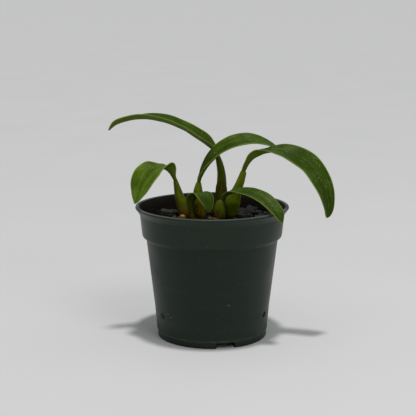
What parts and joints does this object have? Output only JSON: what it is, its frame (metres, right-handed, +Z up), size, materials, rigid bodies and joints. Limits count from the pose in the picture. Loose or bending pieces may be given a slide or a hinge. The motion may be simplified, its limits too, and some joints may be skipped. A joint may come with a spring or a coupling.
{
  "type": "potted cattleya orchid",
  "caption": "Young cattleya orchid with upright pseudobulbs and arching folded leaves, growing in bark in a round black nursery pot with a stepped rim.",
  "frame": {"origin": "centre of the pot's underside, on the surface it stands on", "axes": "+Z up the pot, -Y the front as seen in the picture, +X towards the side of the largest leaf"},
  "size_m": [0.1469, 0.1016, 0.1487],
  "materials": {
    "pot_plastic": "moulded black plastic with a soft sheen and light scuffs",
    "bark_mix": "wet, nearly black bark and charcoal",
    "weathered_bark": "dry grey weathered bark",
    "rhizome_bark": "woody olive brown skin with papery scales",
    "pseudobulb_skin": "smooth waxy olive green plant skin with brown sheaths at the foot",
    "leaf_blade": "thick waxy green leaf with a lighter margin and fine long veins"
  },
  "bodies": {
    "root": {"pot": "pot_plastic", "potting_mix": "bark_mix", "bark_chip_left": "weathered_bark", "bark_chip_right": "weathered_bark", "bark_chip_far_right": "weathered_bark", "rhizome": "rhizome_bark", "pseudobulb_left": "pseudobulb_skin", "pseudobulb_small": "pseudobulb_skin", "pseudobulb_arching": "pseudobulb_skin", "pseudobulb_tall": "pseudobulb_skin", "pseudobulb_large": "pseudobulb_skin", "pseudobulb_front": "pseudobulb_skin", "leaf_left": "leaf_blade", "leaf_small": "leaf_blade", "leaf_arching": "leaf_blade", "leaf_tall": "leaf_blade", "leaf_large": "leaf_blade", "leaf_front": "leaf_blade"}
  },
  "joints": []
}
